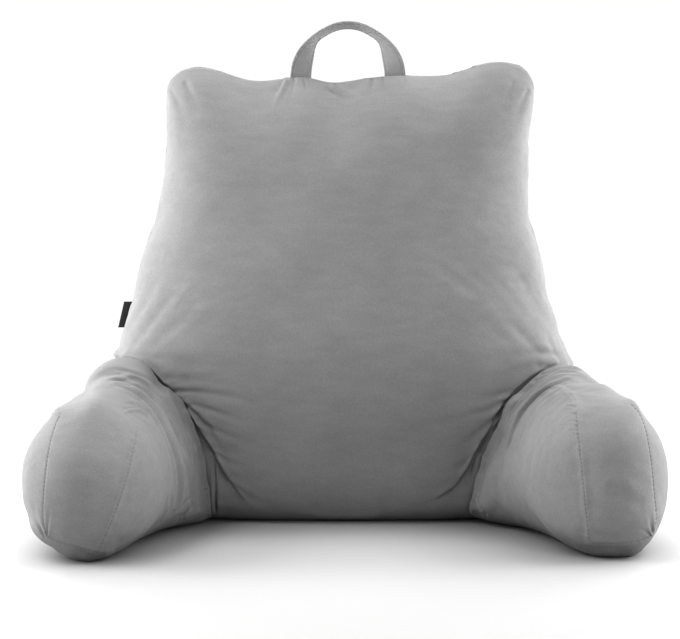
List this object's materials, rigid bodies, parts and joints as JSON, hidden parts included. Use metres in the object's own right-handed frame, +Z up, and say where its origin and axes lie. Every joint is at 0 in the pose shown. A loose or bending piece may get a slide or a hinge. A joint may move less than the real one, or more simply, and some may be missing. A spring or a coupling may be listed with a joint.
{
  "type": "book rest pillow",
  "caption": "Filled wedge backrest with a splayed bolster arm at each side, a carrying strap on its top seam and a blank side tag, to lean on while reading.",
  "frame": {"origin": "middle of the footprint's bounding box, on the floor", "axes": "+Z up, -Y towards the reader's feet where the arms point, +X to the right as seen from the front"},
  "size_m": [0.5992, 0.4074, 0.5057],
  "materials": {
    "velour": "soft mid-grey short-pile velour",
    "strap": "the same grey velour, folded and stitched along its edges",
    "tag": "black woven ribbon, blank"
  },
  "bodies": {
    "root": {"backrest": "velour", "arm_left": "velour", "arm_end_left": "velour", "arm_right": "velour", "arm_end_right": "velour", "carry_strap": "strap", "side_tag": "tag"}
  },
  "joints": []
}
